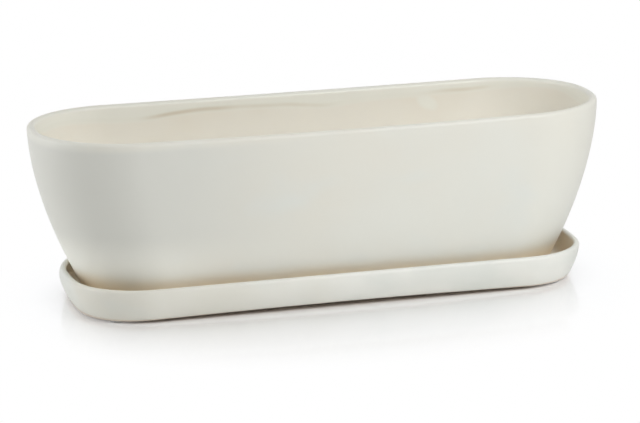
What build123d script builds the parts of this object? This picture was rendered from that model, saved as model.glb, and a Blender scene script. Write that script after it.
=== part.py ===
"""Oblong herb planter: a flared ceramic pot that stands loose in its own saucer, on four bumper pads.

Millimetres, +Z up, +X along the planter, -Y to the front. The origin is on the table, under the middle.
"""
from build123d import *
from math import cos, radians, sin, sqrt, tan
import os

# Driving dimensions of the pot
rim_length = 360.0        # over the outside of the lip
rim_width = 128.0         # over the outside of the lip
pot_height = 105.0        # foot to the top of the lip
end_taper = 31.5          # how far each end wall leans in from lip to foot
side_taper = 11.9         # how far each long wall leans in from lip to foot
rim_end_bow = 150.0       # radius of the bow of each end at the lip
foot_end_bow = 50.0       # radius of the bow of each end at the foot
pot_end_angle = 2.3       # from the middle, how far to each side an end keeps this bow
pot_wall = 5.0            # square to the wall
pot_floor = 7.0           # foot to the inside floor
pot_floor_radius = 10.0   # inside, where the walls meet the floor
foot_edge = 2.0           # bevel under the outside of the foot
foot_ring = 10.0          # width of the ring that the pot stands on
foot_recess = 2.5         # hollow of the underside inside that ring
notch_width = 10.0        # gaps in the foot ring that let the water out
notch_spacing = 120.0
notch_count = 2           # on each long side
drain_diameter = 12.0
drain_spacing = 85.0
drain_count = 3

# Driving dimensions of the saucer
saucer_height = 20.4      # underside to the top of the lip
saucer_taper = 6.5        # how far its wall curves in from lip to underside
saucer_end_bow = 220.0    # radius of the bow of each end
saucer_end_angle = 8.3    # from the middle, how far to each side an end keeps this bow
saucer_wall = 4.0         # square to the wall
saucer_floor = 6.0        # underside to the inside floor
saucer_floor_radius = 5.0
saucer_edge = 1.0         # bevel under the outside of the base
saucer_recess = 1.2       # hollow of the underside inside the base ring
end_gap = 5.2             # clear of the pot at the top of the saucer's wall
side_gap = 7.7

# Driving dimensions of the pads
pad_diameter = 9.0
pad_height = 1.5
pad_edge = 0.5            # bevel round the bottom
pad_margin = 0.5          # base ring left free on each side of a pad
pad_angle = 50.0          # place round the corner of the base, from the end towards the long side

# Shared by every section of both ceramic pieces
side_radius = 6000.0      # the long sides bow out this gently
wall_curve = 1.75         # power of the depth with which a wall leans in
wall_sections = 4         # steps that each lofted wall is drawn through

# Heights above the table, and of the walls up to where their half-round lips begin
saucer_base = pad_height
pot_base = saucer_base + saucer_floor
pot_wall_height = pot_height - pot_wall / 2
saucer_wall_height = saucer_height - saucer_wall / 2


def junctions(half_length, half_width, end_bow, end_angle, inside=0):
    """The corner arc of an outline: its centre, and where it meets the long side and the end.

    An outline that lies inside another by this much has the centres of all its arcs in the same places.
    """
    side_centre = Vector(0, half_width + inside - side_radius)
    end_centre = Vector(half_length + inside - end_bow, 0)
    slope = tan(radians(end_angle))
    reach = sqrt(end_bow**2 * (1 + slope**2) - (end_centre.X * slope)**2)
    end_x = (end_centre.X + reach) / (1 + slope**2)
    on_end = Vector(end_x, end_x * slope)
    outward = (on_end - end_centre).normalized()
    span = on_end - side_centre
    corner_radius = (side_radius**2 - span.length**2) / (2 * (side_radius - span.dot(outward)))
    centre = on_end - outward * corner_radius
    on_side = side_centre + (centre - side_centre).normalized() * (side_radius - inside)
    return centre, on_side, on_end - outward * inside


def outline(half_length, half_width, end_bow, end_angle, height, inside=0):
    """A closed oblong face at one height: bowed sides and ends joined by tangent corner arcs."""
    _, on_side, on_end = junctions(half_length, half_width, end_bow, end_angle, inside)
    with BuildSketch(Plane.XY.offset(height)) as face:
        with BuildLine():
            side = TangentArc((0, half_width), on_side, tangent=(1, 0))
            corner = TangentArc(on_side, on_end, tangent=side % 1)
            TangentArc(on_end, (half_length, 0), tangent=corner % 1)
            mirror(about=Plane.YZ)
            mirror(about=Plane.XZ)
        make_face()
    return face.sketch


def lean_in(taper, share):
    """A wall is upright at its lip and leans in ever more with the share of its depth."""
    return taper * share**wall_curve


def across_wall(thickness, taper, share, height):
    """Level thickness of a leaning wall that is this thick square to its face."""
    slope = wall_curve * taper * share**(wall_curve - 1) / height
    return thickness * sqrt(1 + slope**2)


def pot_half_sizes(share):
    """Half length, half width and end bow of the pot's outside at this share of its wall's depth."""
    half_length = rim_length / 2 - lean_in(end_taper, share)
    half_width = rim_width / 2 - lean_in(side_taper, share)
    end_bow = rim_end_bow + (foot_end_bow - rim_end_bow) * share
    return half_length, half_width, end_bow


# The saucer follows the pot's outside at the top of the saucer's wall, with a gap all round
share_at_saucer = 1 - (saucer_wall_height - saucer_floor) / pot_wall_height
held_half_length, held_half_width, _ = pot_half_sizes(share_at_saucer)
saucer_half_length = held_half_length + end_gap + saucer_wall
saucer_half_width = held_half_width + side_gap + saucer_wall


def saucer_half_sizes(share):
    """Half length and half width of the saucer's outside at this share of its wall's depth."""
    inset = lean_in(saucer_taper, share)
    return saucer_half_length - inset, saucer_half_width - inset


def pot_section(share):
    """The pot's outside at this share of its wall's depth."""
    half_length, half_width, end_bow = pot_half_sizes(share)
    height = pot_base + pot_wall_height * (1 - share)
    return outline(half_length, half_width, end_bow, pot_end_angle, height)


def soil_section(share):
    """The pot's inside at this share of its wall's depth."""
    half_length, half_width, end_bow = pot_half_sizes(share)
    half_length -= across_wall(pot_wall, end_taper, share, pot_wall_height)
    half_width -= across_wall(pot_wall, side_taper, share, pot_wall_height)
    height = pot_base + pot_wall_height * (1 - share)
    return outline(half_length, half_width, end_bow, pot_end_angle, height, pot_wall)


def saucer_section(share):
    """The saucer's outside at this share of its wall's depth."""
    half_length, half_width = saucer_half_sizes(share)
    height = saucer_base + saucer_wall_height * (1 - share)
    return outline(half_length, half_width, saucer_end_bow, saucer_end_angle, height)


def well_section(share):
    """The saucer's inside at this share of its wall's depth."""
    wall = across_wall(saucer_wall, saucer_taper, share, saucer_wall_height)
    half_length, half_width = (size - wall for size in saucer_half_sizes(share))
    height = saucer_base + saucer_wall_height * (1 - share)
    return outline(half_length, half_width, saucer_end_bow, saucer_end_angle, height, saucer_wall)


def shares(bottom):
    """Even steps down a wall, from its lip to this share of its depth."""
    return [bottom * step / wall_sections for step in range(wall_sections + 1)]


def inner_outline(half_length, half_width, end_bow, end_angle, height, inside):
    """The face that lies inside an outline of these sizes, this far from it all round."""
    return outline(half_length - inside, half_width - inside, end_bow, end_angle, height, inside)


def crest(half_length, half_width, end_bow, end_angle, height, wall):
    """The closed line along the middle of a wall's top edge."""
    return inner_outline(half_length, half_width, end_bow, end_angle, height, wall / 2).face().outer_wire()


def half_round(path, wall):
    """A half-round face, as wide as the wall, that stands square across the start of a path."""
    across = Vector(0, 0, 1).cross(path % 0)
    with BuildSketch(Plane(origin=path @ 0, x_dir=across, z_dir=path % 0)) as face:
        Circle(wall / 2)
        Rectangle(wall, wall / 2, align=(Align.CENTER, Align.MAX), mode=Mode.SUBTRACT)
    return face.sketch


os.makedirs("parts", exist_ok=True)

# Soil space: the hollow of the pot, from the lip down to the floor
with BuildPart() as soil_space:
    loft([soil_section(share) for share in shares(1 - pot_floor / pot_wall_height)])
    fillet(soil_space.edges().group_by(Axis.Z)[0], radius=pot_floor_radius)

# Pot: flared shell with a half-round lip, a foot ring with notches, and drain holes
pot_lip = (rim_length / 2, rim_width / 2, rim_end_bow, pot_end_angle, pot_base + pot_wall_height)
pot_foot = (*pot_half_sizes(1), pot_end_angle, pot_base)
pot_crest = crest(*pot_lip, pot_wall)
foot_bevel_share = 1 - foot_edge / pot_wall_height
with BuildPart() as pot:
    loft([pot_section(share) for share in shares(foot_bevel_share)])
    loft([pot_section(foot_bevel_share), inner_outline(*pot_foot, foot_edge)], ruled=True)
    add(soil_space.part, mode=Mode.SUBTRACT)
    sweep(half_round(pot_crest, pot_wall), path=pot_crest)
    add(inner_outline(*pot_foot, foot_ring))
    extrude(amount=foot_recess, mode=Mode.SUBTRACT)
    with BuildSketch(Plane.XY.offset(pot_base)):
        with GridLocations(notch_spacing, 0, notch_count, 1):
            Rectangle(notch_width, rim_width)
    extrude(amount=foot_recess, mode=Mode.SUBTRACT)
    with Locations((0, 0, pot_base + pot_floor)):
        with GridLocations(drain_spacing, 0, drain_count, 1):
            Hole(drain_diameter / 2, depth=pot_floor)
pot.part.label = "pot"
export_step(pot.part, "parts/pot.step")

# Well: the hollow of the saucer, from its lip down to its floor
with BuildPart() as well:
    loft([well_section(share) for share in shares(1 - saucer_floor / saucer_wall_height)])
    fillet(well.edges().group_by(Axis.Z)[0], radius=saucer_floor_radius)

# Saucer: low tray with a curved wall, a half-round lip and a base ring that the pads are stuck to
base_ring = saucer_edge + pad_diameter + 2 * pad_margin
saucer_lip = (*saucer_half_sizes(0), saucer_end_bow, saucer_end_angle, saucer_base + saucer_wall_height)
saucer_underside = (*saucer_half_sizes(1), saucer_end_bow, saucer_end_angle, saucer_base)
saucer_crest = crest(*saucer_lip, saucer_wall)
base_bevel_share = 1 - saucer_edge / saucer_wall_height
with BuildPart() as saucer:
    loft([saucer_section(share) for share in shares(base_bevel_share)])
    loft([saucer_section(base_bevel_share), inner_outline(*saucer_underside, saucer_edge)], ruled=True)
    add(well.part, mode=Mode.SUBTRACT)
    sweep(half_round(saucer_crest, saucer_wall), path=saucer_crest)
    add(inner_outline(*saucer_underside, base_ring))
    extrude(amount=saucer_recess, mode=Mode.SUBTRACT)
saucer.part.label = "saucer"
export_step(saucer.part, "parts/saucer.step")

# Bumper pads: one on the base ring at each rounded corner of the saucer
corner_centre, corner_start, _ = junctions(*saucer_half_sizes(1), saucer_end_bow, saucer_end_angle)
corner_radius = (corner_start - corner_centre).length
pad_reach = corner_radius - saucer_edge - pad_margin - pad_diameter / 2
pad_x = corner_centre.X + pad_reach * cos(radians(pad_angle))
pad_y = corner_centre.Y + pad_reach * sin(radians(pad_angle))
pad_places = {
    "pad_front_left": (-pad_x, -pad_y),
    "pad_front_right": (pad_x, -pad_y),
    "pad_back_left": (-pad_x, pad_y),
    "pad_back_right": (pad_x, pad_y),
}
for pad_name, pad_place in pad_places.items():
    with BuildPart() as pad:
        with BuildSketch(Plane.XY):
            with Locations(pad_place):
                Circle(pad_diameter / 2)
        extrude(amount=pad_height)
        chamfer(pad.edges().group_by(Axis.Z)[0], length=pad_edge)
    pad.part.label = pad_name
    export_step(pad.part, f"parts/{pad_name}.step")
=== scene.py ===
"""Dresses the herb planter: a cast trough in its saucer, ivory glazed, on clear pads and a white table."""

from collections import namedtuple
from math import atan2, cos, pi, radians, sin, sqrt, tan

import bmesh
import bpy
from mathutils import Matrix, Vector


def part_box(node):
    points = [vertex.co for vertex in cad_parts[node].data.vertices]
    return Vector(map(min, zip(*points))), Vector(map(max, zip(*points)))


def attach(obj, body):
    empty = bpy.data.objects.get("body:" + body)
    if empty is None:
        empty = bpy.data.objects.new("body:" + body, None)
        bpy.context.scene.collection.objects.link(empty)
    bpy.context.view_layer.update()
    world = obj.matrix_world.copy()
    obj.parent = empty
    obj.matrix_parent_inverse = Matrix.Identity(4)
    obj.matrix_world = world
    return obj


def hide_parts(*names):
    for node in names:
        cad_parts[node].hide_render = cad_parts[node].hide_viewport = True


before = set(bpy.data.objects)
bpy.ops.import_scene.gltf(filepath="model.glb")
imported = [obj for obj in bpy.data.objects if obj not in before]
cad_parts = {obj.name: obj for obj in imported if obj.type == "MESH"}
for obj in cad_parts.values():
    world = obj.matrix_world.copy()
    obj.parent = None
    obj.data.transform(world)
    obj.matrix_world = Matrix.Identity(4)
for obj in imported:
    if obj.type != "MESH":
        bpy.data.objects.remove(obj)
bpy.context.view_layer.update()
pot_low, pot_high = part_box("pot")
saucer_low, saucer_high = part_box("saucer")
pad_low, pad_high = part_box("pad_front_right")

# Lengths in metres, angles in degrees
MM = 0.001

# The outline shared by both pieces of ware
SIDE_RADIUS = 6.0
WALL_CURVE = 1.75

# How finely a quarter of the outline and the profile are cut
SIDE_STEPS = 24
CORNER_STEPS = 28
END_STEPS = 4
WALL_STEPS = 22
LIP_STEPS = 12
FILLET_STEPS = 6
EDGE_STEPS = 3
SHARP_ANGLE = 38
FOOT_DISH = 0.1 * MM
MERGE = 0.01 * MM

# The drain holes and the drip notches of the pot
DRAIN_DIAMETER = 12 * MM
DRAIN_SPACING = 85 * MM
DRAIN_COUNT = 3
DRAIN_SEGMENTS = 40
PLUG_FLOORS = 3
NOTCH_WIDTH = 10 * MM
NOTCH_SPACING = 120 * MM
NOTCH_COUNT = 2

# One level of a profile: its share of the wall, inset and height, whether it is inside or bare clay,
# and how much of the lip's and of the base's warp it takes
Level = namedtuple("Level", "share inset height inside bare lip_pull base_pull", defaults=(0, 0, 0, 0))


class Ware:
    """The sizes of one cast piece, and how far the kiln has bent it."""

    def __init__(self, low, high, **sizes):
        self.half_length = high.x
        self.half_width = high.y
        self.base = low.z
        vars(self).update(sizes)
        self.spring = high.z - self.wall / 2
        self.wall_height = self.spring - self.base
        self.inner_floor = self.base + self.floor

    def share(self, height):
        """How far down the wall a height lies: 0 where the lip springs, 1 at the foot."""
        return min(max((self.spring - height) / self.wall_height, 0), 1)

    def outline(self, share):
        """Half length, half width and the ends' bow at this share of the wall."""
        lean = share**WALL_CURVE
        bow = self.rim_bow + (self.foot_bow - self.rim_bow) * share
        return self.half_length - self.end_taper * lean, self.half_width - self.side_taper * lean, bow

    def across(self, share):
        """The wall's thickness measured level, where it leans."""
        slope = WALL_CURVE * self.side_taper * share**(WALL_CURVE - 1) / self.wall_height
        return self.wall * sqrt(1 + slope**2)


POT = Ware(
    pot_low, pot_high,
    end_taper=31.5 * MM, side_taper=11.9 * MM, rim_bow=150 * MM, foot_bow=50 * MM,
    end_angle=2.3, back_angle=2.3,
    wall=5 * MM, floor=7 * MM, floor_radius=10 * MM, edge=2 * MM, foot_ring=10 * MM, recess=2.5 * MM,
    front_rise=-1.48 * MM, back_rise=-1.11 * MM, base_rise=0, base_reach=1, corner_draw=0, lip_drift=0,
)
SAUCER = Ware(
    saucer_low, saucer_high,
    end_taper=6.5 * MM, side_taper=6.5 * MM, rim_bow=220 * MM, foot_bow=220 * MM,
    end_angle=8.3, back_angle=1.5,
    wall=4 * MM, floor=6 * MM, floor_radius=5 * MM, edge=1 * MM, foot_ring=11 * MM, recess=1.2 * MM,
    front_rise=0.79 * MM, back_rise=0.79 * MM, base_rise=2.0 * MM, base_reach=(pad_low.x + pad_high.x) / 2,
    corner_draw=2 * MM, lip_drift=0.8 * MM,
)


def turn(bm, vert, centre, angle, steps):
    """Carries a vertex round a centre and returns the vertex where it ends."""
    spun = bmesh.ops.spin(bm, geom=[vert], cent=centre, axis=(0, 0, 1), angle=angle, steps=steps)
    return next(item for item in spun["geom_last"] if isinstance(item, bmesh.types.BMVert))


def heading(point):
    return atan2(point.y, point.x)


def loose(bm):
    """The vertices and edges that have no faces yet."""
    verts = [vert for vert in bm.verts if not vert.link_faces]
    edges = [edge for edge in bm.edges if not edge.link_faces]
    return verts, edges


def draw_quarter(bm, ware, level, end_angle):
    """Draws a quarter of the outline, from the middle of the back to the middle of the right end."""
    half_length, half_width, bow = ware.outline(level.share)
    side_centre = Vector((0, half_width - SIDE_RADIUS))
    end_centre = Vector((half_length - bow, 0))
    slope = tan(radians(end_angle))
    reach = sqrt(bow**2 * (1 + slope**2) - (end_centre.x * slope)**2)
    end_x = (end_centre.x + reach) / (1 + slope**2)
    on_end = Vector((end_x, end_x * slope))
    outward = (on_end - end_centre).normalized()
    span = on_end - side_centre
    corner_radius = (SIDE_RADIUS**2 - span.length_squared) / (2 * (SIDE_RADIUS - span.dot(outward)))
    corner_centre = on_end - outward * corner_radius
    side_heading = heading(corner_centre - side_centre)
    end_heading = heading(outward)
    vert = bm.verts.new((0, half_width - level.inset, level.height))
    vert = turn(bm, vert, side_centre.to_3d(), side_heading - pi / 2, SIDE_STEPS)
    vert = turn(bm, vert, corner_centre.to_3d(), end_heading - side_heading, CORNER_STEPS)
    turn(bm, vert, end_centre.to_3d(), -end_heading, END_STEPS)


def ring(shell, ware, level):
    """Adds the closed outline of one level to the shell and returns its vertices and edges."""
    bm = bmesh.new()
    draw_quarter(bm, ware, level, ware.end_angle)
    bmesh.ops.scale(bm, vec=(1, -1, 1), verts=bm.verts)
    back_angle = ware.end_angle + (ware.back_angle - ware.end_angle) * level.lip_pull
    draw_quarter(bm, ware, level, back_angle)
    drawn = list(bm.verts) + list(bm.edges)
    bmesh.ops.mirror(bm, geom=drawn, matrix=Matrix.Identity(4), merge_dist=MERGE, axis="X")
    bmesh.ops.remove_doubles(bm, verts=bm.verts, dist=MERGE)
    outline = bpy.data.meshes.new("outline")
    bm.to_mesh(outline)
    bm.free()
    shell.from_mesh(outline)
    bpy.data.meshes.remove(outline)
    return loose(shell)


def profile(ware):
    """The levels from the underside over the lip to the inner floor."""
    yield Level(1, ware.foot_ring, ware.base + ware.recess, bare=1, base_pull=1)
    yield Level(1, ware.foot_ring, ware.base + FOOT_DISH, bare=1, base_pull=1)
    for step in range(EDGE_STEPS + 1):
        angle = pi / 2 * step / EDGE_STEPS
        inset = ware.edge * (1 - sin(angle))
        height = ware.base + ware.edge * (1 - cos(angle))
        yield Level(ware.share(height), inset, height, bare=1 - step / EDGE_STEPS, base_pull=1)
    start = ware.share(ware.base + ware.edge)
    for step in range(1, WALL_STEPS + 1):
        share = start * (1 - step / WALL_STEPS)
        height = ware.spring - ware.wall_height * share
        yield Level(share, 0, height, lip_pull=(1 - share)**2, base_pull=share)
    half = ware.wall / 2
    for step in range(1, LIP_STEPS + 1):
        angle = pi * step / LIP_STEPS
        inset = half * (1 - cos(angle))
        yield Level(0, inset, ware.spring + half * sin(angle), inside=step / LIP_STEPS, lip_pull=1)
    end = ware.share(ware.inner_floor + ware.floor_radius)
    for step in range(1, WALL_STEPS + 1):
        share = end * step / WALL_STEPS
        height = ware.spring - ware.wall_height * share
        pull = (1 - share / ware.share(ware.inner_floor))**2
        yield Level(share, ware.across(share), height, inside=1, lip_pull=pull)
    for step in range(1, FILLET_STEPS + 1):
        angle = pi / 2 * step / FILLET_STEPS
        inset = ware.across(end) + ware.floor_radius * (1 - cos(angle))
        height = ware.inner_floor + ware.floor_radius * (1 - sin(angle))
        yield Level(end, inset, height, inside=1)


def bend(ware, verts, level):
    """Warps one level as the kiln does: lip and base rise or sink, the lip drifts and its back draws in."""
    for vert in verts:
        along = 1 - (vert.co.x / ware.half_length)**2
        between_pads = 1 - (vert.co.x / ware.base_reach)**2
        toward_back = min(max((vert.co.y / ware.half_width + 1) / 2, 0), 1)
        lip_rise = ware.front_rise + (ware.back_rise - ware.front_rise) * toward_back
        vert.co.z += lip_rise * level.lip_pull * along + ware.base_rise * level.base_pull * between_pads
        behind = max(vert.co.y / ware.half_width, 0)
        vert.co.y -= ware.corner_draw * level.lip_pull * (1 - along) * behind
        vert.co.x += ware.lip_drift * level.lip_pull


def cast(ware):
    """The closed shell of one piece of ware, marked where it is inside and where it is bare clay."""
    bm = bmesh.new()
    inside_layer = bm.verts.layers.float.new("inside")
    bare_layer = bm.verts.layers.float.new("bare")
    last_edges = None
    for level in profile(ware):
        verts, edges = ring(bm, ware, level)
        for vert in verts:
            vert[inside_layer] = level.inside
            vert[bare_layer] = level.bare
        bend(ware, verts, level)
        if last_edges:
            bmesh.ops.bridge_loops(bm, edges=last_edges + edges)
        else:
            bmesh.ops.contextual_create(bm, geom=edges)
        last_edges = edges
    bmesh.ops.contextual_create(bm, geom=last_edges)
    bmesh.ops.recalc_face_normals(bm, faces=bm.faces)
    return bm


def finish_piece(bm, name):
    """Turns a bmesh into an object at the origin."""
    mesh = bpy.data.meshes.new(name)
    bm.to_mesh(mesh)
    bm.free()
    piece = bpy.data.objects.new(name, mesh)
    bpy.context.collection.objects.link(piece)
    return piece


def smooth_faces(piece):
    """Smooth faces, with crisp edges where they meet at a sharp angle."""
    piece.data.polygons.foreach_set("use_smooth", [True] * len(piece.data.polygons))
    piece.data.set_sharp_from_angle(angle=radians(SHARP_ANGLE))


def in_row(count, spacing):
    """Evenly spaced places along X, about the middle."""
    return [(number - (count - 1) / 2) * spacing for number in range(count)]


def drain_cutter():
    """Round plugs for the drain holes and bars for the drip notches across the foot."""
    bm = bmesh.new()
    radius = DRAIN_DIAMETER / 2
    for x in in_row(DRAIN_COUNT, DRAIN_SPACING):
        bmesh.ops.create_cone(
            bm, cap_ends=True, segments=DRAIN_SEGMENTS, radius1=radius, radius2=radius,
            depth=POT.floor * PLUG_FLOORS, matrix=Matrix.Translation((x, 0, POT.base + POT.floor / 2)),
        )
    for x in in_row(NOTCH_COUNT, NOTCH_SPACING):
        size = Matrix.Diagonal((NOTCH_WIDTH, POT.half_width * 2, POT.recess * 2, 1))
        bmesh.ops.create_cube(bm, size=1, matrix=Matrix.Translation((x, 0, POT.base)) @ size)
    return finish_piece(bm, "drain_cutter")


def cut(piece, cutter):
    """Cuts the cutter's shape out of the piece, then deletes the cutter."""
    step = piece.modifiers.new("cut", "BOOLEAN")
    step.operation = "DIFFERENCE"
    step.solver = "EXACT"
    step.object = cutter
    whole = piece.data
    name = whole.name
    cut_mesh = bpy.data.meshes.new_from_object(piece.evaluated_get(bpy.context.evaluated_depsgraph_get()))
    piece.modifiers.remove(step)
    piece.data = cut_mesh
    bpy.data.meshes.remove(whole)
    cut_mesh.name = name
    bpy.data.meshes.remove(cutter.data)


# The curve between colours as a screen shows them and the linear values that shaders take
FULL_LEVEL = 255
TOE_END = 0.04045
TOE_SLOPE = 12.92
CURVE_OFFSET = 0.055
CURVE_POWER = 2.4


def linear(red, green, blue):
    """A colour as it looks on screen, 0 to 255, as the linear values that shaders take."""
    values = []
    for level in (red, green, blue):
        shown = level / FULL_LEVEL
        curved = ((shown + CURVE_OFFSET) / (1 + CURVE_OFFSET))**CURVE_POWER
        values.append(shown / TOE_SLOPE if shown <= TOE_END else curved)
    return (*values, 1)


class Wire:
    """The output of a node; arithmetic on wires adds Math nodes."""

    def __init__(self, recipe, socket):
        self.recipe = recipe
        self.socket = socket

    def maths(self, operation, first, second):
        return self.recipe.node("ShaderNodeMath", {"operation": operation}, {0: first, 1: second})

    def __add__(self, other):
        return self.maths("ADD", self, other)

    def __radd__(self, other):
        return self.maths("ADD", other, self)

    def __sub__(self, other):
        return self.maths("SUBTRACT", self, other)

    def __rsub__(self, other):
        return self.maths("SUBTRACT", other, self)

    def __mul__(self, other):
        return self.maths("MULTIPLY", self, other)

    def __rmul__(self, other):
        return self.maths("MULTIPLY", other, self)

    def __truediv__(self, other):
        return self.maths("DIVIDE", self, other)

    def __abs__(self):
        return self.maths("ABSOLUTE", self, 0)

    def or_more(self, other):
        """The larger of two values."""
        return self.maths("MAXIMUM", self, other)

    def output(self, name):
        """Another output of the same node."""
        return Wire(self.recipe, self.socket.node.outputs[name])


class Recipe:
    """A node tree that a glaze, a rubber, a table top or the surroundings is mixed in."""

    def __init__(self, tree):
        self.tree = tree
        tree.nodes.clear()

    def node(self, kind, settings, sockets, output=0):
        """Adds a node, sets it, fills or links its sockets and returns one of its outputs."""
        made = self.tree.nodes.new(kind)
        for name, value in settings.items():
            setattr(made, name, value)
        for name, value in sockets.items():
            if isinstance(value, Wire):
                self.tree.links.new(value.socket, made.inputs[name])
            else:
                made.inputs[name].default_value = value
        return Wire(self, made.outputs[output]) if made.outputs else None

    def place(self):
        """Where a point lies on its piece."""
        return self.node("ShaderNodeTexCoord", {}, {}, "Object")

    def axes(self, vector):
        """A vector taken apart; the wire stands for X, and its other outputs are Y and Z."""
        return self.node("ShaderNodeSeparateXYZ", {}, {"Vector": vector})

    def mark(self, name):
        """A mark that the shell's vertices carry."""
        return self.node("ShaderNodeAttribute", {"attribute_name": name}, {}, "Fac")

    def vector(self, operation, *values, output=0):
        """Maths on whole vectors."""
        return self.node("ShaderNodeVectorMath", {"operation": operation}, dict(enumerate(values)), output)

    def blend(self, mask, under, over):
        """One colour over another by a mask."""
        return self.node("ShaderNodeMix", {"data_type": "RGBA"}, {0: mask, 6: under, 7: over}, 2)

    def shader_blend(self, mask, under, over):
        """One shader over another by a mask."""
        return self.node("ShaderNodeMixShader", {}, {0: mask, 1: under, 2: over})

    def grade(self, value, low, high, from_value=0.0, to_value=1.0):
        """A soft step of a value between low and high."""
        sockets = {
            "Value": value, "From Min": low, "From Max": high, "To Min": from_value, "To Max": to_value,
        }
        return self.node("ShaderNodeMapRange", {"interpolation_type": "SMOOTHSTEP"}, sockets)

    def cloud(self, place, scale, detail, roughness=0.5):
        """Soft uneven noise."""
        sockets = {"Vector": place, "Scale": scale, "Detail": detail, "Roughness": roughness}
        return self.node("ShaderNodeTexNoise", {}, sockets)

    def relief(self, height, strength, depth):
        """A normal that shows a height as fine relief."""
        return self.node("ShaderNodeBump", {}, {"Strength": strength, "Distance": depth, "Height": height})


def new_material(name):
    material = bpy.data.materials.new(name)
    material.use_nodes = True
    return material, Recipe(material.node_tree)


# Tones of the ware, as they look on screen
IVORY = linear(229, 229, 220)
IVORY_WARM = linear(229, 227, 216)
IVORY_COOL = linear(227, 229, 222)
# The next two tones are painted shade and painted light for the pot's left end, not tones of the glaze
IVORY_PAINTED_SHADE = linear(219, 219, 211)
IVORY_PAINTED_LIGHT = linear(240, 240, 231)
SAUCER_IVORY = linear(237, 237, 230)
# A paler copy of the ivory: painted light for the inside of the trough
INSIDE_GLAZE_PAINTED_LIGHT = linear(248, 248, 239)
GLAZE_STAIN = linear(208, 191, 162)
BISQUE = linear(245, 242, 232)
BISQUE_TAN = linear(242, 236, 222)
BARE_CLAY = linear(214, 196, 178)
FOOT_BUFF = linear(232, 213, 182)
SAUCER_WELL_PAINTED_LIGHT = linear(250, 243, 230)
SAUCER_BUFF_PAINTED_LIGHT = linear(248, 237, 218)
GLAZE_ROUGHNESS = 0.42
BISQUE_ROUGHNESS = 0.62
CLAY_ROUGHNESS = 0.75

# The glaze's slow drift of tone and hue, its ripple and its fine orange peel; noise lies about its middle
NOISE_MIDDLE = 0.5
TONE_DRIFT = {"scale": 9, "detail": 3}
TONE_RANGE = (0.35, 0.65)
HUE_DRIFT = {"scale": 16, "detail": 2}
HUE_STRETCH = (1, 1, 1.7)
HUE_RANGE = (0.5, 0.75)
RIPPLE = {"scale": 26, "detail": 1}
RIPPLE_STRETCH = (0.6, 1, 1)
ORANGE_PEEL = {"scale": 700, "detail": 1}
PEEL_SHARE = 0.012
GLAZE_RELIEF = 0.35
GLAZE_RELIEF_DEPTH = 0.5 * MM

# How far the marks of inside and bare clay reach before they show
INSIDE_RANGE = (0.6, 1)
BARE_RANGE = (0.3, 0.7)

# Where the glaze ends inside the pot: its depth and unevenness, and single runs as place, half width
# and length
BACK_WALL = (0, 30 * MM)
GLAZE_DEPTH = 5 * MM
GLAZE_UNEVEN = 6 * MM
GLAZE_FADE = 3.5 * MM
EDGE_WANDER = {"scale": 14, "detail": 2, "roughness": 0.4}
EDGE_STRETCH = (1, 1, 0.25)
GLAZE_RUNS = ((-100 * MM, 50 * MM, 2.8 * MM), (20 * MM, 26 * MM, 2 * MM), (170 * MM, 60 * MM, -4 * MM))
INSIDE_LIGHT_STRENGTH = 0.9

# The stain along that edge: its patches, and its stretches as first and last place and strength
STAIN_WIDTH = 2.2 * MM
STAIN_STRENGTH = 0.5
STAIN_ELSEWHERE = 0.1
STAIN_STRETCHES = ((-104 * MM, -26 * MM, 1.0), (-46 * MM, 36 * MM, 0.5), (86 * MM, 140 * MM, 0.8))
STAIN_SOFT_END = 24 * MM
STAIN_PATCHES = {"scale": 24, "detail": 2}
PATCH_RANGE = (0.3, 0.6)
PATCH_STRENGTH = (0.6, 1.0)

# One pale drip on the back wall inside: its middle along and under the lip, its half sizes and its lean
DRIP_ALONG = 90 * MM
DRIP_UNDER_LIP = 11 * MM
DRIP_HALF_WIDTH = 8 * MM
DRIP_HALF_LENGTH = 7 * MM
DRIP_LEAN = 0.6
DRIP_RANGE = (1, 0.1)

# The bisque's own drift of tone
BISQUE_DRIFT = {"scale": 11, "detail": 3}
BISQUE_STRETCH = (1, 1, 1.5)
BISQUE_TONE_RANGE = (0.4, 0.7)

# Outside, towards the left end, painted shade darkens the glaze above and painted light makes it paler
# below
PAINTED_SHADE_ALONG = (0, -120 * MM)
PAINTED_SHADE_UP = (28 * MM, 55 * MM)
PAINTED_LIGHT_ALONG = (-60 * MM, -130 * MM)
PAINTED_LIGHT_DOWN = (55 * MM, 28 * MM)

# The pot turns a darker buff towards its foot, where it stands in the saucer, from one height to another,
# along a wandering edge
FOOT_BUFF_FROM = 7 * MM
FOOT_BUFF_TO = 22 * MM
FOOT_BUFF_WANDER = 4 * MM
FOOT_BUFF_STRENGTH = 0.85
FOOT_BUFF_EDGE = {"scale": 18, "detail": 3}

# The saucer's mottled well, painted light, and the clay line round its base
WELL_RANGE = (0.55, 1)
WELL_MOTTLE = {"scale": 30, "detail": 4, "roughness": 0.6}
MOTTLE_STRETCH = (0.7, 1, 1)
MOTTLE_RANGE = (0.4, 0.7)
CLAY_LINE_TOP = 1.0 * MM
CLAY_LINE_WANDER = 1.2 * MM
CLAY_LINE_SOFT = (-0.6 * MM, 0.6 * MM)
CLAY_LINE_STRENGTH = 0.6
CLAY_WANDER = {"scale": 60, "detail": 2}


def glaze_skin(recipe, place, ivory):
    """The slow tone drift and the ripple and fine orange peel of a poured glaze: colour and normal."""
    drift = recipe.cloud(place, **TONE_DRIFT)
    hue = recipe.cloud(recipe.vector("MULTIPLY", place, HUE_STRETCH), **HUE_DRIFT)
    colour = recipe.blend(recipe.grade(drift, *TONE_RANGE), IVORY_WARM, ivory)
    colour = recipe.blend(recipe.grade(hue, *HUE_RANGE), colour, IVORY_COOL)
    ripple = recipe.cloud(recipe.vector("MULTIPLY", place, RIPPLE_STRETCH), **RIPPLE)
    peel = recipe.cloud(place, **ORANGE_PEEL)
    normal = recipe.relief(ripple + PEEL_SHARE * peel, GLAZE_RELIEF, GLAZE_RELIEF_DEPTH)
    return colour, normal


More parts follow.
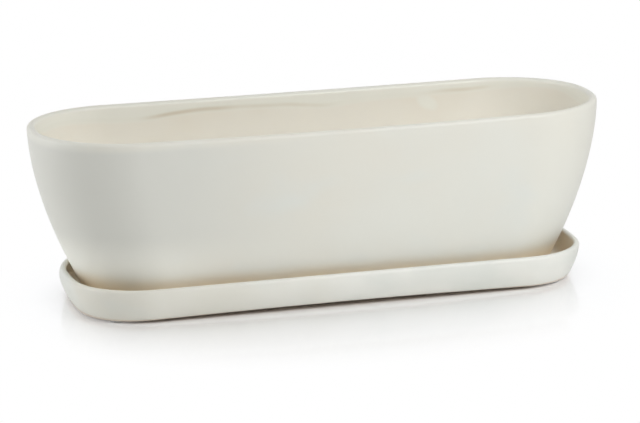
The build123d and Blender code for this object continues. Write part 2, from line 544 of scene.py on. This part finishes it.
def surface(recipe, material, colour, roughness, normal, **constants):
    """Closes a material with one surface shader."""
    shader = recipe.node("ShaderNodeBsdfPrincipled", {}, {
        "Base Color": colour, "Roughness": roughness, "Normal": normal, **constants,
    })
    recipe.node("ShaderNodeOutputMaterial", {}, {"Surface": shader})
    return material


def glaze_edge(recipe, place):
    """How far a point lies under the inside glaze's edge, its stain, and how far the drip covers it."""
    along = recipe.axes(place)
    height = along.output("Z")
    on_back = recipe.grade(along.output("Y"), *BACK_WALL)
    wander = recipe.cloud(recipe.vector("MULTIPLY", place, EDGE_STRETCH), **EDGE_WANDER)
    depth = GLAZE_DEPTH + GLAZE_UNEVEN * (wander - NOISE_MIDDLE)
    for run_x, half_width, length in GLAZE_RUNS:
        depth = depth + recipe.grade(abs(along - run_x), half_width, 0, 0, length) * on_back
    below = POT.spring - depth - height
    patches = recipe.grade(recipe.cloud(place, **STAIN_PATCHES), *PATCH_RANGE, *PATCH_STRENGTH)
    stretches = STAIN_ELSEWHERE
    for first_x, last_x, strength in STAIN_STRETCHES:
        begun = recipe.grade(along, first_x, first_x + STAIN_SOFT_END)
        ended = recipe.grade(along, last_x - STAIN_SOFT_END, last_x)
        stretches = stretches + begun * (1 - ended) * strength
    stain = (1 - recipe.grade(abs(below), 0, STAIN_WIDTH)) * patches * stretches
    under_drip = POT.spring - DRIP_UNDER_LIP - height
    drip_across = (along - DRIP_ALONG - DRIP_LEAN * under_drip) / DRIP_HALF_WIDTH
    drip_down = under_drip / DRIP_HALF_LENGTH
    drip = recipe.grade(drip_across * drip_across + drip_down * drip_down, *DRIP_RANGE) * on_back
    return below, stain, drip


def pot_glaze():
    """Ivory outside and over the lip, running out inside in an uneven stained edge above cream bisque."""
    material, recipe = new_material("ivory_glaze_pot")
    place = recipe.place()
    along = recipe.axes(place)
    height = along.output("Z")
    inside = recipe.mark("inside")
    bare = recipe.mark("bare")
    colour, normal = glaze_skin(recipe, place, IVORY)
    # Painted shade: the glaze outside is darkened towards the upper left, below the lip
    painted_shade = recipe.grade(along, *PAINTED_SHADE_ALONG) * recipe.grade(height, *PAINTED_SHADE_UP)
    painted_shade = painted_shade * recipe.grade(height, POT.spring, POT.spring - POT.wall)
    colour = recipe.blend(painted_shade, colour, IVORY_PAINTED_SHADE)
    # Painted light: the glaze outside is made paler towards the lower left
    painted_light = recipe.grade(along, *PAINTED_LIGHT_ALONG) * recipe.grade(height, *PAINTED_LIGHT_DOWN)
    colour = recipe.blend(painted_light, colour, IVORY_PAINTED_LIGHT)
    below, stain, drip = glaze_edge(recipe, place)
    bisque_tone = recipe.cloud(recipe.vector("MULTIPLY", place, BISQUE_STRETCH), **BISQUE_DRIFT)
    bisque = recipe.blend(recipe.grade(bisque_tone, *BISQUE_TONE_RANGE), BISQUE, BISQUE_TAN)
    well_inside = recipe.grade(inside, *INSIDE_RANGE)
    # Painted light: inside the trough the glaze is painted paler than outside, lifting the shade there
    colour = recipe.blend(well_inside * INSIDE_LIGHT_STRENGTH, colour, INSIDE_GLAZE_PAINTED_LIGHT)
    unglazed = recipe.grade(below, 0, GLAZE_FADE) * well_inside * (1 - drip)
    colour = recipe.blend(unglazed, colour, bisque)
    colour = recipe.blend(stain * well_inside * STAIN_STRENGTH, colour, GLAZE_STAIN)
    # Darker buff towards the pot's foot, below a wandering edge
    edge = height + FOOT_BUFF_WANDER * (recipe.cloud(place, **FOOT_BUFF_EDGE) - NOISE_MIDDLE)
    foot_buff = recipe.grade(edge, POT.base + FOOT_BUFF_TO, POT.base + FOOT_BUFF_FROM) * (1 - inside)
    colour = recipe.blend(foot_buff * FOOT_BUFF_STRENGTH, colour, FOOT_BUFF)
    colour = recipe.blend(recipe.grade(bare, *BARE_RANGE), colour, BARE_CLAY)
    roughness = GLAZE_ROUGHNESS + (BISQUE_ROUGHNESS - GLAZE_ROUGHNESS) * unglazed.or_more(bare)
    return surface(recipe, material, colour, roughness, normal)


def saucer_glaze():
    """Ivory like the pot, a mottled light buff in the well that is painted light lifting its shade, with a
    bare clay line round the base.
    """
    material, recipe = new_material("ivory_glaze_saucer")
    place = recipe.place()
    height = recipe.axes(place).output("Z")
    inside = recipe.mark("inside")
    bare = recipe.mark("bare")
    colour, normal = glaze_skin(recipe, place, SAUCER_IVORY)
    mottle = recipe.cloud(recipe.vector("MULTIPLY", place, MOTTLE_STRETCH), **WELL_MOTTLE)
    # Painted light: the well's pale buff tones lift the shade between pot and saucer; the mottle is random
    # tone
    well_painted_light = recipe.blend(recipe.grade(mottle, *MOTTLE_RANGE), SAUCER_WELL_PAINTED_LIGHT, SAUCER_BUFF_PAINTED_LIGHT)
    colour = recipe.blend(recipe.grade(inside, *WELL_RANGE), colour, well_painted_light)
    wander = recipe.cloud(place, **CLAY_WANDER)
    line_top = SAUCER.base + CLAY_LINE_TOP + CLAY_LINE_WANDER * wander
    clay_line = recipe.grade(line_top - height, *CLAY_LINE_SOFT) * (1 - inside)
    clay = (clay_line * CLAY_LINE_STRENGTH).or_more(recipe.grade(bare, *BARE_RANGE))
    colour = recipe.blend(clay, colour, BARE_CLAY)
    roughness = GLAZE_ROUGHNESS + (CLAY_ROUGHNESS - GLAZE_ROUGHNESS) * clay
    return surface(recipe, material, colour, roughness, normal)


# The pads' soft clear rubber
SILICONE_HAZE = {"scale": 500, "detail": 2}
SILICONE_GREY = linear(222, 224, 222)
SILICONE_PALE = linear(236, 237, 236)
SILICONE_ROUGHNESS = 0.22
HAZE_ROUGHNESS = 0.16
SILICONE_RELIEF = 0.1
SILICONE_RELIEF_DEPTH = 0.05 * MM
SILICONE_CLEAR = {"Transmission Weight": 0.2, "IOR": 1.41}


def clear_silicone():
    """Soft clear rubber with a faint haze."""
    material, recipe = new_material("clear_silicone")
    haze = recipe.cloud(recipe.place(), **SILICONE_HAZE)
    colour = recipe.blend(haze, SILICONE_GREY, SILICONE_PALE)
    roughness = SILICONE_ROUGHNESS + HAZE_ROUGHNESS * haze
    normal = recipe.relief(haze, SILICONE_RELIEF, SILICONE_RELIEF_DEPTH)
    return surface(recipe, material, colour, roughness, normal, **SILICONE_CLEAR)


# The table, by distances past the saucer's foot: where its shade ends, where its polish begins and where
# the mirror image fades; towards the ends all three come closer
TABLE_SIZE = 4.0
FOOT_CORNER = 50 * MM
SHADE_FROM = -2 * MM
SHADE_TO = 40 * MM
SHADE_END = 10 * MM
POLISH_FROM = 6 * MM
POLISH_TO = 18 * MM
POLISH_END = 10 * MM
MIRROR_FROM = 15 * MM
MIRROR_TO = 130 * MM
MIRROR_END = 45 * MM
WHITE_SHARE = 0.95
MIRROR_SHARE = 0.76
SOFT_SHARE = 0.3
GRAZING_BLEND = 0.5
WHITE = (1, 1, 1, 1)
TABLE_WHITE = linear(247, 247, 246)
MIRROR_TINT = (0.972, 0.98, 1, 1)
CRISP_ROUGHNESS = 0.07
SOFT_ROUGHNESS = 0.3


def table_top():
    """A polished white top: shadow and mirror image lie close to the planter and fade to plain white."""
    material, recipe = new_material("white_table")
    place = recipe.place()
    foot_length, foot_width, _ = SAUCER.outline(1)
    straight = (foot_length - FOOT_CORNER, foot_width - FOOT_CORNER, 0)
    beyond = recipe.vector("SUBTRACT", recipe.vector("ABSOLUTE", place), straight)
    beyond = recipe.vector("MAXIMUM", beyond, (0, 0, 0))
    past_foot = recipe.vector("LENGTH", beyond, output="Value") - FOOT_CORNER
    along = recipe.axes(place) / foot_length
    endward = along * along
    mirrored = recipe.grade(past_foot + MIRROR_END * endward, MIRROR_TO, MIRROR_FROM)
    lit = recipe.grade(past_foot + SHADE_END * endward, SHADE_FROM, SHADE_TO, 0, WHITE_SHARE)
    polishing = recipe.grade(past_foot + POLISH_END * endward, POLISH_FROM, POLISH_TO, 0, MIRROR_SHARE)
    seen = recipe.node("ShaderNodeLightPath", {}, {}, "Is Camera Ray")
    paint = recipe.node("ShaderNodeBsdfDiffuse", {}, {"Color": TABLE_WHITE})
    white = recipe.node("ShaderNodeEmission", {}, {"Color": WHITE, "Strength": 1.0})
    ground = recipe.shader_blend(lit * seen, paint, white)
    crisp = recipe.node("ShaderNodeBsdfGlossy", {}, {"Color": MIRROR_TINT, "Roughness": CRISP_ROUGHNESS})
    soft = recipe.node("ShaderNodeBsdfGlossy", {}, {"Color": MIRROR_TINT, "Roughness": SOFT_ROUGHNESS})
    polish = recipe.shader_blend(SOFT_SHARE, crisp, soft)
    grazing = recipe.node("ShaderNodeLayerWeight", {}, {"Blend": GRAZING_BLEND}, "Facing")
    polished = recipe.shader_blend(grazing * polishing, ground, polish)
    top = recipe.shader_blend((1 - mirrored) * seen, polished, white)
    recipe.node("ShaderNodeOutputMaterial", {}, {"Surface": top})
    return material


def lay_table():
    bm = bmesh.new()
    bmesh.ops.create_grid(bm, x_segments=1, y_segments=1, size=TABLE_SIZE)
    table = finish_piece(bm, "table_top")
    table.data.materials.append(table_top())


# The surroundings: their light from the side and from above, and where mirrors see them white
SIDE_LIGHT = 0.02
TOP_LIGHT = 0.31
BEHIND_RANGE = (-0.25, 0.35)
LOW_RANGE = (0.5, 0.3)


def surroundings():
    """White where the camera looks and in mirrors behind the planter or low down, dimmer elsewhere."""
    world = bpy.data.worlds.new("studio")
    bpy.context.scene.world = world
    world.use_nodes = True
    recipe = Recipe(world.node_tree)
    camera_ray = recipe.node("ShaderNodeLightPath", {}, {}, "Is Camera Ray")
    looked_at = camera_ray.or_more(camera_ray.output("Is Glossy Ray"))
    looked_at = looked_at.or_more(camera_ray.output("Is Transmission Ray"))
    way = recipe.axes(recipe.node("ShaderNodeTexCoord", {}, {}, "Generated"))
    behind = recipe.grade(way.output("Y"), *BEHIND_RANGE)
    low = recipe.grade(way.output("Z"), *LOW_RANGE)
    seen = camera_ray.or_more(looked_at * behind.or_more(low))
    dim = recipe.grade(way.output("Z"), 0, 1, SIDE_LIGHT, TOP_LIGHT)
    sky = recipe.node("ShaderNodeBackground", {}, {"Color": WHITE, "Strength": dim + (1 - dim) * seen})
    recipe.node("ShaderNodeOutputWorld", {}, {"Surface": sky})


# The softboxes, each with its place, its size and its power in watts; all face the planter's middle
LAMP_AIM = Vector((0, 0, 0.06))
SOFTBOXES = {
    "softbox_key": ((0.5, -0.9, 0.8), 0.6, 9.2),
    "softbox_left": ((-1.54, 0.56, 0.5), 0.9, 8.2),
    "softbox_left_low": ((-1.3, 0.1, 0.25), 0.6, 2.2),
    "softbox_top": ((0, 0.2, 1.7), 1.2, 4),
}


def studio_light():
    for name, (place, size, power) in SOFTBOXES.items():
        lamp = bpy.data.lights.new(name, "AREA")
        lamp.shape = "SQUARE"
        lamp.size = size
        lamp.energy = power
        softbox = bpy.data.objects.new(name, lamp)
        softbox.location = place
        softbox.rotation_euler = (LAMP_AIM - Vector(place)).to_track_quat("-Z", "Y").to_euler()
        bpy.context.collection.objects.link(softbox)


# The camera as worked out from the outlines of lip, walls and saucer
IMAGE_WIDTH = 640
SENSOR_WIDTH = 36.0
CAMERA_AZIMUTH = -14.751
CAMERA_ELEVATION = 13.132
CAMERA_ROLL = -1.182
CAMERA_DISTANCE = 1.8017
CAMERA_AIM = Vector((0, 0, 0.060))
FOCAL_PIXELS = 2880.9
CENTRE_PIXELS_RIGHT = -2.60
CENTRE_PIXELS_DOWN = -21.07


def place_camera():
    azimuth = radians(CAMERA_AZIMUTH)
    elevation = radians(CAMERA_ELEVATION)
    roll = radians(CAMERA_ROLL)
    back = Vector((sin(azimuth) * cos(elevation), -cos(azimuth) * cos(elevation), sin(elevation)))
    level_right = Vector((cos(azimuth), sin(azimuth), 0))
    level_up = back.cross(level_right)
    right = level_right * cos(roll) + level_up * sin(roll)
    up = back.cross(right)
    lens = bpy.data.cameras.new("camera")
    lens.sensor_fit = "HORIZONTAL"
    lens.sensor_width = SENSOR_WIDTH
    lens.lens = FOCAL_PIXELS / IMAGE_WIDTH * SENSOR_WIDTH
    lens.shift_x = -CENTRE_PIXELS_RIGHT / IMAGE_WIDTH
    lens.shift_y = CENTRE_PIXELS_DOWN / IMAGE_WIDTH
    camera = bpy.data.objects.new("camera", lens)
    turned = Matrix((right, up, back)).transposed().to_4x4()
    camera.matrix_world = Matrix.Translation(CAMERA_AIM + back * CAMERA_DISTANCE) @ turned
    bpy.context.collection.objects.link(camera)
    bpy.context.scene.camera = camera


# The pot
pot = finish_piece(cast(POT), "glazed_pot")
cut(pot, drain_cutter())
smooth_faces(pot)
pot.data.materials.clear()
pot.data.materials.append(pot_glaze())
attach(pot, "pot")
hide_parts("pot")

# The saucer
saucer = finish_piece(cast(SAUCER), "glazed_saucer")
smooth_faces(saucer)
saucer.data.materials.append(saucer_glaze())
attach(saucer, "saucer")
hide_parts("saucer")

# The pads keep their own shapes
silicone = clear_silicone()
for pad_name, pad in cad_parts.items():
    if pad_name.startswith("pad_"):
        pad.data.materials.clear()
        pad.data.materials.append(silicone)

# The table, the light and the camera
lay_table()
surroundings()
studio_light()
place_camera()
bpy.context.scene.view_settings.view_transform = "Standard"
